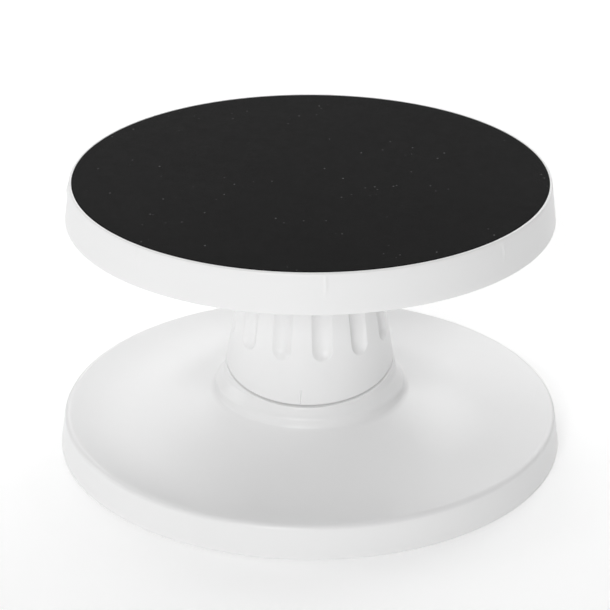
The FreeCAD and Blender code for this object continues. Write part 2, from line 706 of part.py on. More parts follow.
def turntable_plate():
    made = body("turntable_plate")
    bottom = "plate_bottom"
    lip = "(neck_top+lip_gap)"
    corner = "(plate_top-plate_rounding)"
    soft = "web_rounding"
    turned(made, "Revolution", "plate", [
        ("0", "hub_bottom"), ("hub_radius", "hub_bottom"), ("hub_radius", "race_high_top"),
        ("race_outer+fit_gap", "race_high_top"), ("race_outer+fit_gap", "race_high_top-race_seat_depth"),
        ("lip_inner", "race_high_top-race_seat_depth"), ("lip_inner", lip), ("neck_top_radius", lip),
        ("neck_top_radius", "web_bottom"), (plate_side("web_bottom", f"plate_wall+{soft}"), "web_bottom"),
        (plate_side(f"web_bottom-{soft}", f"plate_wall+{soft}*(1-cos(45))"),
         f"web_bottom-{soft}*(1-sin(45))", "via"),
        (plate_side(f"web_bottom-{soft}", "plate_wall"), f"web_bottom-{soft}"),
        (plate_side(bottom, "plate_wall"), bottom), (plate_side(bottom, "plate_edge"), bottom),
        (plate_side(f"{bottom}+plate_edge", "plate_edge*(1-cos(45))"),
         f"{bottom}+plate_edge*(1-sin(45))", "via"),
        (plate_side(f"{bottom}+plate_edge"), f"{bottom}+plate_edge"), (plate_side(corner), corner),
        (plate_side(corner, "plate_rounding*(1-cos(45))"), f"{corner}+plate_rounding*sin(45)", "via"),
        (plate_side(corner, "plate_rounding"), "plate_top"), ("recess_radius", "plate_top"),
        ("recess_radius", "mat_bottom"), ("nut_well_radius", "mat_bottom"), ("nut_well_radius", "hub_well"),
        ("0", "hub_well")])
    rib = sketch(made, "rib_side", angle="plate_rib_start", axis=Vector(0, 1, 0))
    outline(rib, [
        ("neck_top_radius-lip_thickness/2", "hub_bottom"),
        (plate_side("web_bottom-plate_rib_end", "plate_wall/2"), "web_bottom-plate_rib_end"),
        (plate_side("web_bottom+web_thickness/4", "plate_wall/2"), "web_bottom+web_thickness/4"),
        ("neck_top_radius-lip_thickness/2", "web_bottom+web_thickness/4")])
    rib_pad = extruded(made, "Pad", "rib", rib, "plate_rib_width", symmetric=True)
    repeated(made, "ribs", [rib_pad], "plate_rib_count")
    bore = sketch(made, "bush_bore", "XY_Plane", base=("0", "0", "hub_well"))
    circle(bore, "hub_bush_radius")
    extruded(made, "Pocket", "bush_bore_cut", bore)
    return made


def hub_bush():
    made = body("hub_bush")
    turned(made, "Revolution", "bush", [
        ("spindle_radius+fit_gap", "hub_bottom"), ("hub_bush_radius", "hub_bottom"),
        ("hub_bush_radius", "hub_well"), ("hub_bush_radius+hub_bush_rim", "hub_well"),
        ("hub_bush_radius+hub_bush_rim", "hub_well+hub_bush_flange"),
        ("spindle_radius+fit_gap", "hub_well+hub_bush_flange")])
    return made


def non_slip_mat():
    made = body("non_slip_mat")
    round_off = "mat_rounding"
    turned(made, "Revolution", "mat", [
        ("0", "mat_bottom"), ("mat_radius", "mat_bottom"), ("mat_radius", f"plate_top-{round_off}"),
        (f"mat_radius-{round_off}*(1-cos(45))", f"plate_top-{round_off}*(1-sin(45))", "via"),
        (f"mat_radius-{round_off}", "plate_top"), ("0", "plate_top")])
    return made


def write_parts(parts):
    doc.recompute()
    for item in doc.Objects:
        if {"Invalid", "Error"} & set(item.State):
            raise RuntimeError(f"{item.Name} ({item.Label}) is {item.State}")
    for made in parts:
        if made.Shape.isNull() or not made.Shape.isValid():
            raise RuntimeError(f"{made.Label} has no valid shape")
    os.makedirs("parts", exist_ok=True)
    for made in parts:
        made.Shape.exportStep(f"parts/{made.Label}.step")
        print(f"{made.Label}: {len(made.Shape.Solids)} solid(s), {made.Shape.Volume / 1000:.2f} cm3")


def build():
    for row, (alias, number) in enumerate(sizes.items(), start=1):
        sheet.set(f"A{row}", alias)
        sheet.set(f"B{row}", str(number))
        sheet.setAlias(f"B{row}", alias)
    doc.recompute()
    write_parts([
        base_shell(), rubber_feet(), friction_washer(), swivel_bush(), swivel_bolt(), swivel_washer(),
        disc_springs(), tilted(hex_nut("lock_nut", "lock_nut_end", "lock_nut_height", "bolt_radius")),
        swivel_disc(), stop_pin(), swivel_screws(), neck_shell(), spindle(),
        race("lower_race", "race_low_bottom", "race_low_top"),
        race("upper_race", "race_high_bottom", "race_high_top"), ball_cage(), bearing_balls(),
        turntable_plate(), hub_bush(),
        ring_body("spindle_washer", "spindle_thread+hole_play", "spindle_washer_radius", "shoulder_height",
                  "spindle_nut_bottom"),
        hex_nut("spindle_nut", "spindle_nut_bottom", "spindle_nut_height", "spindle_thread"),
        non_slip_mat()])


build()
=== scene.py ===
import json
import math

import bpy
import numpy as np
from mathutils import Matrix, Vector


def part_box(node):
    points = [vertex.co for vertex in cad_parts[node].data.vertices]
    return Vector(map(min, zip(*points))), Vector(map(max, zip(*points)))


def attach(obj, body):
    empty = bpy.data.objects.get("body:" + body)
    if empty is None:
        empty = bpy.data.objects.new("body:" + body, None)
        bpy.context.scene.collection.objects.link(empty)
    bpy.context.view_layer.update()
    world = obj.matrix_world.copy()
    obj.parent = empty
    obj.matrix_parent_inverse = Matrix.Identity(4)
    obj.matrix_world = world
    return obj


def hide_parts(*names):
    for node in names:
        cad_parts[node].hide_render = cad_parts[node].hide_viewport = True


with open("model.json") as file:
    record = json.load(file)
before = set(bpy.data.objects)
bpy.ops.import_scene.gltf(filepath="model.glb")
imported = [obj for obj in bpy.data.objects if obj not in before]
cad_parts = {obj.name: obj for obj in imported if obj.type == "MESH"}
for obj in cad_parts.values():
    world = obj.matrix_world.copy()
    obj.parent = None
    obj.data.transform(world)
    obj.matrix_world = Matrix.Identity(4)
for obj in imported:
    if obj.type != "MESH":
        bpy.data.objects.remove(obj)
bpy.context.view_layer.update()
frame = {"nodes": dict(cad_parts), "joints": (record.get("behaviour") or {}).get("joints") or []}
mm = 0.001
tau = 2 * math.pi
poleRadius = 2.0  # a shell that closes on its axis has its last ring this far out

joints = {joint["name"]: joint for joint in frame["joints"]}
pivot = np.array(joints["neck_twist"]["pos_m"]) / mm
swivelAxis = np.array(joints["neck_twist"]["axis"])
upSlope = np.array([0.0, swivelAxis[2], -swivelAxis[1]])
seamRise = -swivelAxis[1] / swivelAxis[2]
seamHeight = pivot[2] - seamRise * pivot[1]


def low(node):
    return np.array(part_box(node)[0]) / mm


def high(node):
    return np.array(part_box(node)[1]) / mm


# A line through corners, each rounded by its own radius: on a corner the point swings from the
# incoming direction to the outgoing one about the arc's centre, and straight runs are cut evenly.
def roundedLine(corners, radii, step=2.5, bend=7):
    corners = np.array(corners, float)
    pieces = [corners[:1]]
    for index in range(1, len(corners) - 1):
        here = corners[index]
        if radii[index] == 0:
            pieces.append(here[None, :])
            continue
        before = here - corners[index - 1]
        after = corners[index + 1] - here
        before = before / np.linalg.norm(before)
        after = after / np.linalg.norm(after)
        turn = math.acos(np.clip(before @ after, -1, 1))
        reach = radii[index] * math.tan(turn / 2)
        toCentre = (after - before) / np.linalg.norm(after - before)
        centre = here + toCentre * radii[index] / math.cos(turn / 2)
        first = here - before * reach - centre
        last = here + after * reach - centre
        share = np.linspace(0, 1, bend)[:, None]
        swing = (np.sin((1 - share) * turn) * first + np.sin(share * turn) * last) / math.sin(turn)
        pieces.append(centre + swing)
    pieces.append(corners[-1:])
    line = [pieces[0]]
    for piece in pieces[1:]:
        start, end = line[-1][-1], piece[0]
        cuts = max(1, int(np.linalg.norm(end - start) / step))
        between = start + (end - start) * np.linspace(0, 1, cuts + 1)[1:-1, None]
        line += [between, piece]
    return np.concatenate(line)


# A radius and a height swept round Z: x = r cos(angle), y = r sin(angle), z = height.
def spin(radius, height, angles):
    radius = np.broadcast_to(radius, (len(radius), len(angles)))
    height = np.broadcast_to(height, (len(height), len(angles)))
    return np.stack([radius * np.cos(angles), radius * np.sin(angles), height], axis=-1)


# A line of radius and height pairs swept round Z.
def sweep(line, angles):
    line = np.asarray(line, float)
    return spin(line[:, :1], line[:, 1:], angles)


# Quads between neighbouring rows and columns of a grid whose last column joins its first.
def gridFaces(rows, columns, wrapRows):
    i = np.arange(rows if wrapRows else rows - 1)[:, None]
    j = np.arange(columns)[None, :]
    nextI = (i + 1) % rows
    nextJ = (j + 1) % columns
    corners = [i * columns + j, i * columns + nextJ, nextI * columns + nextJ, nextI * columns + j]
    return np.stack(corners, -1).reshape(-1, 4)


# One closed shell from a grid whose rows run along a profile and columns round it, as its points, quads
# and triangles. A profile that doesn't close on itself gets a point at each end and a fan of triangles.
def shell(points, poles=None):
    rows, columns, _ = points.shape
    vertices = points.reshape(-1, 3)
    quads = gridFaces(rows, columns, poles is None)
    if poles is None:
        return vertices, quads, np.empty((0, 3), int)
    first = len(vertices)
    j = np.arange(columns)
    after = (j + 1) % columns
    lastRow = (rows - 1) * columns
    bottom = np.stack([np.full(columns, first), after, j], -1)
    top = np.stack([np.full(columns, first + 1), lastRow + j, lastRow + after], -1)
    return np.concatenate([vertices, poles]), quads, np.concatenate([bottom, top])


# Copies of a shell turned about Z by equal steps.
def turnedCopies(part, count, start=0.0):
    vertices, quads, fans = part
    angles = start + tau / count * np.arange(count)
    cos, sin = np.cos(angles)[:, None], np.sin(angles)[:, None]
    x, y, z = vertices.T
    turned = np.stack([cos * x - sin * y, sin * x + cos * y, np.broadcast_to(z, (count, len(z)))], -1)
    shift = len(vertices) * np.arange(count)[:, None, None]
    return turned.reshape(-1, 3), (quads + shift).reshape(-1, 4), (fans + shift).reshape(-1, 3)


def makePiece(name, parts, material, body, node):
    starts = np.cumsum([0] + [len(part[0]) for part in parts])
    vertices = np.concatenate([part[0] for part in parts])
    quads = np.concatenate([part[1] + start for part, start in zip(parts, starts)])
    fans = np.concatenate([part[2] + start for part, start in zip(parts, starts)])
    mesh = bpy.data.meshes.new(name)
    mesh.from_pydata((vertices * mm).tolist(), [], quads.tolist() + fans.tolist())
    mesh.validate()
    mesh.polygons.foreach_set("use_smooth", np.ones(len(mesh.polygons), bool))
    mesh.materials.append(material)
    piece = bpy.data.objects.new(name, mesh)
    bpy.context.scene.collection.objects.link(piece)
    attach(piece, body)
    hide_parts(node)
    print("made", name, len(mesh.vertices), "points,", len(mesh.polygons), "faces")
    return piece


# Evenly spaced angles with extra ones bunched round some places, so that fine marks stay sharp.
def angleSteps(count, places=(), reach=0.0, extra=0):
    angles = [np.arange(count) / count * tau]
    angles += [place + np.linspace(-reach, reach, extra) for place in places]
    return np.unique(np.round(np.concatenate(angles) % tau, 7))


base = {
    "radius": high("base_shell")[0], "stand": low("base_shell")[2], "draft": math.radians(8),
    "height": 15.9, "wall": 2.6, "bottomEdge": (0.5, 0.4), "bottomEase": 0.3,
    "rimRounding": 2.5, "rimSlope": math.radians(12), "valleyInset": 27.0, "dishTop": 24.9,
    "collarRadius": 43.3, "footReach": 0.8, "footRise": 3.3, "footMiddle": (0.26, 1.3),
    "shoulderReach": 1.0, "shoulderRise": 1.8, "shoulderMiddle": (0.33, 1.0),
    "coveReach": 2.4, "coveRise": 6.95, "collarHeight": 8.9, "collarStep": 0.3,
    "coneEnd": 60.0, "collarSmoothing": 3, "collarInner": (4.0, 1.0), "collarUnder": (1.5, 0.7),
    "rimInner": ((0.1, 0.4), (-0.1, 1.4)),
    "deckRadius": 33.5, "deckThickness": 5.0, "deckEdge": 35.0, "deckChamfer": (2.0, 1.5),
    "bossRadius": 10.0, "bossLength": 7.0, "bossChamfer": 0.5, "bossFillet": 0.8, "boreRadius": 6.45,
    "seamGap": 0.7, "edge": 0.5, "washerSeat": (14.0, 23.0, 2.0),
    "stopTrack": (26.45, 30.55, 2.2), "trackEnd": math.radians(4.5), "uncutTrack": 0.02,
    "ribs": 8, "ribWidth": 2.0, "ribLift": 3.0, "ribInnerRise": 8.0, "ribSlopeEnd": 15.0,
    "ribGap": (3.0, 0.2), "ribTopDrop": 1.0, "ribRim": 6.0,
    "feet": 6, "feetStart": math.radians(30), "footRadius": 6.0, "seatGap": 0.05,
    "postRadius": 8.0, "postLow": 1.6, "seatTop": high("rubber_feet")[2], "columns": 360,
}
base["footCircle"] = high("rubber_feet")[1] - base["footRadius"]
neck = {
    "radius": 36.0, "slope": 0.1612, "flat": 54.0, "top": high("neck_shell")[2], "wall": 4.5, "deck": 6.0,
    "bore": 5.05, "screws": 3, "screwsStart": math.radians(30), "screwCircle": 28.6,
    "bossRadius": 4.0, "bossRise": 5.35, "bossLength": 9.5,
    "flutes": 12, "fluteWidth": 9.0, "fluteDepth": 2.4, "fluteEdge": 0.35, "fluteBand": (3.0, 6.0),
    "raceSeat": 22.05, "seatDepth": 1.2, "topEdge": ((0.25, 0.25), (0.8, 0.0)), "hollowChamfer": 3.0,
    "innerLift": 0.3, "front": 3 * math.pi / 2, "columns": 720,
    "markWidth": 0.5, "markDepth": 0.6, "markLength": 6.5, "markRun": 0.3,
    "markSpread": math.radians(1.2), "markColumns": 49,
}


def coneRadius(height):
    return neck["radius"] - neck["slope"] * (height - neck["flat"])


# Height of an edge along the seam at each angle. The seam's plane rises with y, so the height is the
# seam's middle plus a shift along the axis plus rise times r sin(angle), where r depends on the height.
def seamEdge(radiusAt, shift, angles):
    edgeHeight = np.full(len(angles), seamHeight)
    for _ in range(12):
        edgeHeight = seamHeight + shift / swivelAxis[2] + seamRise * radiusAt(edgeHeight) * np.sin(angles)
    return edgeHeight


# Points of an arc that starts level at one end: radius of bend times sine, and one minus cosine, of an angle.
def levelArc(start, end, count):
    slope = 2 * math.atan2(abs(end[1] - start[1]), abs(end[0] - start[0]))
    bend = abs(end[0] - start[0]) / math.sin(slope)
    angle = np.linspace(0, slope, count)
    side = math.copysign(1, end[0] - start[0])
    return np.stack([start[0] + side * bend * np.sin(angle), start[1] + bend * (1 - np.cos(angle))], -1)


# The rim's crest is an arc from the skirt to the dish, and the dish is two arcs that meet level in its
# valley: one up to the crest and one up to the collar's foot.
def dishLine():
    rimHeight = base["height"] - base["rimRounding"]
    rimCentre = (base["radius"] - (rimHeight - base["stand"]) * math.tan(base["draft"])
                 - base["rimRounding"] / math.cos(base["draft"]))
    angle = np.linspace(base["draft"], math.pi / 2 + base["rimSlope"], 14)
    crest = np.stack([rimCentre + base["rimRounding"] * np.cos(angle),
                      rimHeight + base["rimRounding"] * np.sin(angle)], -1)
    valleyRadius = base["radius"] - base["valleyInset"]
    drop = (crest[-1][0] - valleyRadius) * math.tan(base["rimSlope"] / 2)
    valley = np.array([valleyRadius, crest[-1][1] - drop])
    outer = levelArc(valley, crest[-1], 12)[::-1]
    foot = np.array([base["collarRadius"] + base["footReach"], base["dishTop"]])
    inner = levelArc(valley, foot, 20)
    return crest, np.concatenate([outer, inner[1:]])


# An arc through three points: the circle's centre is where the two chords' bisectors cross, and the
# points swing round it by equal angles.
def threePointArc(first, middle, last, count):
    first, middle, last = (np.array(point, float) for point in (first, middle, last))
    chords = np.stack([middle - first, last - middle])
    sums = np.array([(middle @ middle - first @ first) / 2, (last @ last - middle @ middle) / 2])
    centre = np.linalg.solve(chords, sums)
    start = np.arctan2(*(first - centre)[::-1])
    turn = np.arctan2(*(last - centre)[::-1]) - start
    turn = (turn + math.pi) % tau - math.pi
    angle = start + turn * np.linspace(0, 1, count)
    return centre + np.linalg.norm(first - centre) * np.stack([np.cos(angle), np.sin(angle)], -1)


# The collar from the dish up to the cone: foot, shoulder and cove, one arc each, then a light smoothing
# that leaves the ends where they are.
def collarLine(foot):
    radius, rise = base["collarRadius"], base["dishTop"]
    wallTop = np.array([radius, rise + base["footRise"]])
    shoulder = np.array([radius - base["shoulderReach"], wallTop[1] + base["shoulderRise"]])
    coneStart = np.array([coneRadius(rise + base["collarHeight"]) + base["collarStep"],
                          rise + base["collarHeight"]])
    footMiddle = (radius + base["footMiddle"][0], rise + base["footMiddle"][1])
    shoulderMiddle = (radius - base["shoulderMiddle"][0], wallTop[1] + base["shoulderMiddle"][1])
    coveMiddle = (radius - base["coveReach"], rise + base["coveRise"])
    line = np.concatenate([threePointArc(foot, footMiddle, wallTop, 14),
                           threePointArc(wallTop, shoulderMiddle, shoulder, 12)[1:],
                           threePointArc(shoulder, coveMiddle, coneStart, 16)[1:]])
    for _ in range(base["collarSmoothing"]):
        line[1:-1] = (line[:-2] + 2 * line[1:-1] + line[2:]) / 4
    return line


# The base is one profile that closes on itself, swept round: skirt, rim, dish and collar outside, the
# slanted deck and the swivel's boss in the middle, and the underside back to the skirt.
def baseShell():
    angles = angleSteps(base["columns"])
    half = base["seamGap"] / 2
    wall = base["wall"]
    crest, dish = dishLine()
    collar = collarLine(dish[-1])
    coneEnd = np.array([coneRadius(base["coneEnd"]) + base["collarStep"], base["coneEnd"]])
    outline = np.concatenate([collar, [coneEnd]])
    turn = base["dishTop"] + base["footRise"]
    lower = collar[collar[:, 1] < turn]

    # The collar's upper part is stretched up to the seam's lower edge, which ends in a rounded lip.
    edgeHeight = seamEdge(lambda height: np.interp(height, outline[:, 1], outline[:, 0]), -half, angles)
    share = np.linspace(0, 1, 26)[:, None]
    upperHeight = turn + (edgeHeight - base["edge"] - turn) * share
    upperRadius = np.interp(upperHeight, outline[:, 1], outline[:, 0])
    swing = np.linspace(0, math.pi / 2, 5)[1:, None]
    lipRadius = upperRadius[-1] - base["edge"] * (1 - np.cos(swing))
    lipHeight = upperHeight[-1] + base["edge"] * np.sin(swing)

    run, rise = base["bottomEdge"]
    ease = base["bottomEase"]
    bottom = np.array([[base["radius"] - wall, base["stand"]], [base["radius"] - run, base["stand"]],
                       [base["radius"] - ease * run, base["stand"] + ease * rise],
                       [base["radius"], base["stand"] + rise]])
    side = np.linspace(bottom[-1], crest[0], 8)[1:-1]
    # The crest ends where the dish starts and the dish where the collar starts, so each is used once.
    skin = np.concatenate([bottom, side, crest[:-1], dish, lower[1:]])
    rows = [sweep(skin, angles), spin(upperRadius, upperHeight, angles), spin(lipRadius, lipHeight, angles)]

    # The deck under the seam and the swivel's boss are circles about the slanted axis.
    def slanted(radius, height):
        circle = np.cos(angles)[:, None] * np.array([1.0, 0, 0]) + np.sin(angles)[:, None] * upSlope
        return (pivot + radius * circle + height * swivelAxis)[None]

    under = -half - base["deckThickness"]
    bossEnd = under - base["bossLength"]
    seatInner, seatOuter, seatDepth = base["washerSeat"]
    trackInner, trackOuter, trackDepth = base["stopTrack"]
    chamferRun, chamferRise = base["deckChamfer"]
    # The stop's track is half a ring and a little more at each end, where the pin stands at its limits.
    inTrack = (angles < math.pi + base["trackEnd"]) | (angles > tau - base["trackEnd"])
    track = (-half - np.where(inTrack, trackDepth, base["uncutTrack"]))[:, None]
    for radius, height in (
            (base["deckEdge"], -half), (trackOuter, -half), (trackOuter, track), (trackInner, track),
            (trackInner, -half), (seatOuter, -half), (seatOuter, half - seatDepth),
            (seatInner, half - seatDepth), (seatInner, -half), (base["boreRadius"], -half),
            (base["boreRadius"], bossEnd), (base["bossRadius"] - base["bossChamfer"], bossEnd),
            (base["bossRadius"], bossEnd + base["bossChamfer"]),
            (base["bossRadius"], under - base["bossFillet"]),
            (base["bossRadius"] + base["bossFillet"], under), (base["deckRadius"] - chamferRun, under),
            (base["deckRadius"], under - chamferRise)):
        rows.append(slanted(radius, height))

    innerRun, innerRise = base["collarInner"]
    underRun, underShare = base["collarUnder"]
    collarInside = [[base["deckRadius"], turn],
                    [base["collarRadius"] - innerRun, base["dishTop"] + innerRise],
                    [base["collarRadius"] - underRun, base["dishTop"] - wall * underShare]]
    rimInside = np.array([crest[0][0], crest[-1][1]]) - wall - np.array(base["rimInner"])
    rows.append(sweep(np.concatenate([collarInside, dish[::-1] - [0, wall], rimInside]), angles))
    return shell(np.concatenate(rows))


# A rib's section, rounded below, is carried from its inner to its outer end; its top is buried in the wall.
def ribShell(radii, lowLine, highLine, width, rounding=0.6):
    swing = np.linspace(0, math.pi, 9)
    across = np.concatenate([[-width / 2], -width / 2 * np.cos(swing), [width / 2]])
    lift = np.concatenate([[0], rounding * (1 - np.sin(swing)), [0]])
    isTop = np.zeros(len(across), bool)
    isTop[[0, -1]] = True
    height = np.where(isTop, highLine[:, None], lowLine[:, None] + lift)
    x = np.broadcast_to(radii[:, None], height.shape)
    y = np.broadcast_to(across, height.shape)
    points = np.stack([x, y, height], -1)
    return shell(points, poles=points.mean(1)[[0, -1]])


def baseRibs():
    _, dish = dishLine()
    innerGap, outerGap = base["ribGap"]
    radii = np.linspace(base["deckRadius"] + innerGap, base["radius"] - base["wall"] - outerGap, 40)
    dishHeight = np.interp(radii, dish[::-1, 0], dish[::-1, 1])
    slopeEnd = base["footCircle"] - base["ribSlopeEnd"]
    lowLine = np.interp(radii, [radii[0], slopeEnd, radii[-1]],
                        [base["ribLift"] + base["ribInnerRise"], base["ribLift"], base["ribLift"]])
    highLine = np.minimum(dishHeight - base["wall"] / 2, base["dishTop"] - base["ribTopDrop"])
    atRim = radii > base["radius"] - base["ribRim"]
    highLine = np.where(atRim, base["height"] - base["ribRim"], highLine)
    return turnedCopies(ribShell(radii, lowLine, highLine, base["ribWidth"]), base["ribs"])


def footPosts():
    _, dish = dishLine()
    topHeight = np.interp(base["footCircle"], dish[::-1, 0], dish[::-1, 1]) - base["wall"] / 2
    seat = base["footRadius"] + base["seatGap"]
    line = roundedLine([[poleRadius, topHeight], [base["postRadius"], topHeight],
                        [base["postRadius"], base["postLow"]], [seat, base["postLow"]],
                        [seat, base["seatTop"]], [poleRadius, base["seatTop"]]],
                       [0, 0, 0.5, 0.3, 0.2, 0], step=3)
    post, quads, fans = shell(sweep(line, angleSteps(48))[::-1],
                              poles=np.array([[0, 0, base["seatTop"]], [0, 0, topHeight]]))
    return turnedCopies((post + [base["footCircle"], 0, 0], quads, fans), base["feet"], base["feetStart"])


# How deep a flute cuts at each angle and height: the neck is unrolled, and the distance to the flute's
# middle line, or to its round lower end, gives the depth of a round trough with a softened edge.
def fluteCut(angles, height):
    pitch = tau / neck["flutes"]
    away = (angles - math.pi / 2) % pitch - pitch / 2
    sideways = away * coneRadius(height)
    half = neck["fluteWidth"] / 2
    below = np.minimum(height - neck["flat"] - half, 0)
    distance = np.sqrt(sideways ** 2 + below ** 2)
    bend = (half ** 2 + neck["fluteDepth"] ** 2) / (2 * neck["fluteDepth"])
    trough = np.sqrt(np.maximum(bend ** 2 - distance ** 2, 1e-9)) - (bend - neck["fluteDepth"])
    trough = np.where(distance < bend, trough, -bend)
    soft = neck["fluteEdge"] / 2
    return (trough + np.sqrt(trough ** 2 + soft ** 2)) / 2 - soft / 2 * np.exp(-np.abs(trough))


# The neck is one profile that closes on itself, swept round: the cone from its slanted edge up, less the
# flutes and the index mark, then the race's seat, the bore and the hollow inside.
def neckShell():
    angles = angleSteps(neck["columns"], [neck["front"]], neck["markSpread"], neck["markColumns"])
    edgeHeight = seamEdge(coneRadius, base["seamGap"] / 2, angles)
    swing = np.linspace(math.pi / 2, 0, 5)[:-1, None]
    lipHeight = edgeHeight + base["edge"] * (1 - np.sin(swing))
    lipRadius = coneRadius(edgeHeight) - base["edge"] * (1 - np.cos(swing))

    # The rows start on the slanted edge and are level from a little below the flutes upwards.
    bandLow, bandHigh = neck["flat"] - neck["fluteBand"][0], neck["flat"] + neck["fluteBand"][1]
    (edgeIn, edgeDown), (landIn, landDown) = neck["topEdge"]
    share = np.concatenate([np.linspace(0, 0.45, 26), np.linspace(0.45, 1, 9)[1:]])[:, None]
    lowHeight = edgeHeight + base["edge"] + (bandLow - edgeHeight - base["edge"]) * share
    upHeight = np.concatenate([np.linspace(bandLow, bandHigh, 36)[1:],
                               np.linspace(bandHigh, neck["top"] - landIn, 14)[1:]])[:, None]
    upHeight = np.broadcast_to(upHeight, (len(upHeight), len(angles)))
    height = np.concatenate([lowHeight, upHeight])
    radius = coneRadius(height) - fluteCut(angles, height)

    # The index mark is a fine groove of round section, up from the seam's lowest point.
    offset = (angles - neck["front"]) * coneRadius(edgeHeight.min())
    up = height - edgeHeight.min()
    across = np.clip(1 - (offset / (neck["markWidth"] / 2)) ** 2, 0, 1)
    along = np.clip((neck["markLength"] - up) / neck["markRun"], 0, 1)
    radius = radius - neck["markDepth"] * np.sqrt(across) * along

    topRadius = radius[-1] - np.array([[edgeIn], [landIn]])
    topHeight = np.broadcast_to(neck["top"] - np.array([[edgeDown], [landDown]]), topRadius.shape)
    seatLow = neck["top"] - neck["seatDepth"]
    deckLow = neck["top"] - neck["deck"]
    inner = coneRadius(deckLow) - neck["wall"]
    chamfer = neck["hollowChamfer"]
    inside = [[neck["raceSeat"], neck["top"]], [neck["raceSeat"], seatLow], [neck["bore"], seatLow],
              [neck["bore"], deckLow], [inner - chamfer, deckLow], [inner, deckLow - chamfer]]
    innerRadius = (coneRadius(edgeHeight) - neck["wall"])[None]
    innerHeight = (edgeHeight + neck["innerLift"])[None]
    return shell(np.concatenate([
        spin(lipRadius, lipHeight, angles), spin(radius, height, angles), spin(topRadius, topHeight, angles),
        sweep(inside, angles), spin(innerRadius, innerHeight, angles)]))


# Three posts inside the neck, leaning with the swivel's axis, that its screws go into.
def screwBosses():
    angle = neck["screwsStart"] + tau / neck["screws"] * np.arange(neck["screws"])
    middle = neck["bossRise"] + neck["bossLength"] / 2
    across = neck["screwCircle"] * np.cos(angle)
    along = (neck["screwCircle"] * np.sin(angle) - pivot[1] - middle * swivelAxis[1]) / swivelAxis[2]
    post, quads, fans = shell(sweep([[neck["bossRadius"], 0], [neck["bossRadius"], neck["bossLength"]]],
                                    angleSteps(32)), poles=np.array([[0, 0, 0], [0, 0, neck["bossLength"]]]))
    right = np.array([1, 0, 0])
    leaning = post[:, :1] * right + post[:, 1:2] * upSlope + (post[:, 2:] + neck["bossRise"]) * swivelAxis
    return [(pivot + leaning + x * right + y * upSlope, quads, fans) for x, y in zip(across, along)]


plate = {
    "radius": high("turntable_plate")[0], "bottom": low("turntable_plate")[2],
    "top": high("turntable_plate")[2], "draft": math.radians(7.5), "wall": 2.6, "rounding": 0.9, "web": 3.0,
    "recess": high("non_slip_mat")[0] + 0.1, "matThickness": 2.0,
    "lipRadius": 26.5, "lipThickness": 2.0, "lipLow": neck["top"] + 0.8, "raceSeat": neck["raceSeat"],
    "boss": high("upper_race")[2] - 1.2, "raceTop": high("upper_race")[2], "hubRadius": 12.0,
    "hubLow": low("hub_bush")[2], "wellRadius": 10.0, "wellFloor": high("hub_bush")[2] - 1.0, "bore": 7.0,
    "ribs": 8, "ribWidth": 1.8, "ribStart": math.radians(9.3), "ribEnd": 4.5, "ribBury": 0.8,
    "ribInset": 1.0, "ribSideDrop": 3.0,
    "markWidth": 0.8, "markRise": 0.5, "markReach": 2.5, "markSpread": 0.018, "markColumns": 17,
    "skinDepth": 0.5,
    "columns": 300,
}
plate["floor"] = plate["top"] - plate["matThickness"]
plate["webLow"] = plate["floor"] - plate["web"]


def plateSide(height):
    return plate["radius"] - (height - plate["bottom"]) * math.tan(plate["draft"])


def ribPlaces():
    return plate["ribStart"] + tau / plate["ribs"] * np.arange(plate["ribs"])


# The plate is one profile with rounded corners that closes on itself through the hub's bore, swept round.
def plateShell():
    p = plate
    angles = angleSteps(p["columns"], ribPlaces(), p["markSpread"], p["markColumns"])
    lipInner = p["lipRadius"] - p["lipThickness"]
    corners = [
        [p["bore"], p["hubLow"]], [p["hubRadius"], p["hubLow"]], [p["hubRadius"], p["raceTop"]],
        [p["raceSeat"], p["raceTop"]], [p["raceSeat"], p["boss"]], [lipInner, p["boss"]],
        [lipInner, p["lipLow"]], [p["lipRadius"], p["lipLow"]],
        [p["lipRadius"], p["webLow"]], [plateSide(p["webLow"]) - p["wall"], p["webLow"]],
        [p["radius"] - p["wall"], p["bottom"]], [p["radius"], p["bottom"]],
        [plateSide(p["top"]), p["top"]], [p["recess"], p["top"]], [p["recess"], p["floor"]],
        [p["wellRadius"], p["floor"]], [p["wellRadius"], p["wellFloor"]], [p["bore"], p["wellFloor"]]]
    radii = [0, 0.4, 0.4, 0.2, 0.3, 0.4, 0.4, 0.4, 1.2, 1.8, 0.4, 0.4, p["rounding"], 0.15, 0.2, 0.3, 0.3, 0]
    line = roundedLine(corners, radii, step=2.2)
    radius = np.broadcast_to(line[:, :1], (len(line), len(angles))).copy()
    height = np.broadcast_to(line[:, 1:], radius.shape)

    # Faint marks stand proud of the skirt where the ribs end behind it, under the rim: their rise is a
    # bell curve across and a flat-topped bell curve upwards.
    nearest = np.abs((angles[:, None] - ribPlaces() + math.pi) % tau - math.pi).min(1)
    side = np.exp(-(nearest * p["radius"] / p["markWidth"]) ** 2)
    up = np.exp(-((height - p["webLow"]) / p["markReach"]) ** 4)
    outside = radius > plateSide(height) - p["skinDepth"]
    radius += np.where(outside, p["markRise"] * side * up, 0)
    return shell(spin(radius, height, angles))


def plateRibs():
    p = plate
    outer = plateSide(p["webLow"] - p["ribSideDrop"]) - p["wall"] / 2
    radii = np.linspace(p["lipRadius"] - p["ribInset"], outer, 24)
    lowLine = np.interp(radii, [radii[0], radii[-1]], [p["hubLow"], p["webLow"] - p["ribEnd"]])
    highLine = np.full(len(radii), p["webLow"] + p["ribBury"])
    return turnedCopies(ribShell(radii, lowLine, highLine, p["ribWidth"]), p["ribs"], p["ribStart"])


mat = {
    "radius": high("non_slip_mat")[0], "edgeRun": 1.3, "edgeFall": 0.22, "bottomEdge": 0.3, "columns": 320,
}


